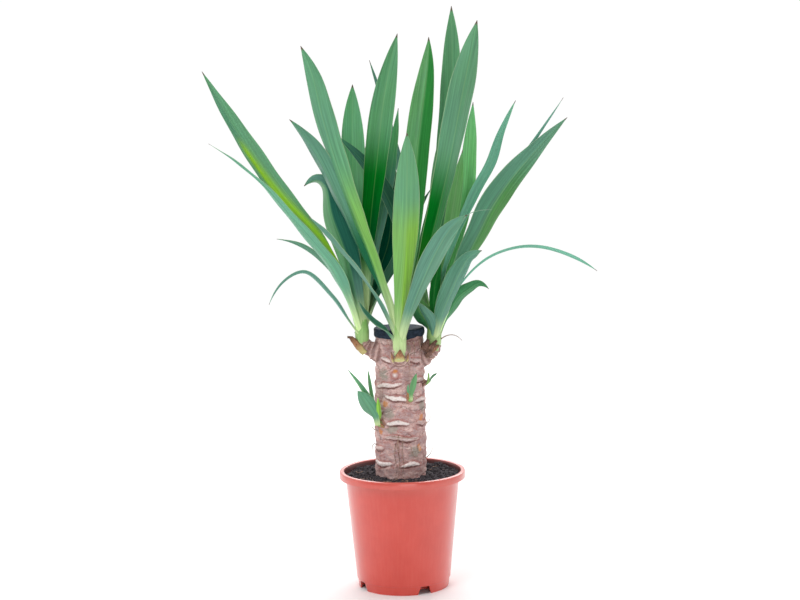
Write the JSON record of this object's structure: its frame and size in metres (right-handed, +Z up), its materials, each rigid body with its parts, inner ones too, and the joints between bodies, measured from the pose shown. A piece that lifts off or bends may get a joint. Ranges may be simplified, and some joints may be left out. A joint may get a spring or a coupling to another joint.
{
  "type": "potted yucca",
  "caption": "Young yucca cane with three tufts of long upright leaves and small side sprouts, in a tapered plastic nursery pot of soil.",
  "frame": {"origin": "middle of the pot's underside, on the flat centre pad, at the level that the pot stands on", "axes": "+Z up along the pot and the cane, +X to the right as the plant is seen from its front, which faces -Y"},
  "size_m": [0.3607, 0.2228, 0.55],
  "materials": {
    "pot": "satin",
    "soil": "matte",
    "cane": "matte",
    "wax_seal": "satin",
    "foliage": "satin",
    "foliage_young": "satin"
  },
  "bodies": {
    "root": {"pot": "pot", "soil": "soil", "cane": "cane", "wax_seal": "wax_seal", "shoot_left": "foliage", "shoot_front": "foliage_young", "shoot_right": "foliage", "sprout_left": "foliage_young", "sprout_front": "foliage_young", "sprout_right": "foliage_young"}
  },
  "joints": []
}
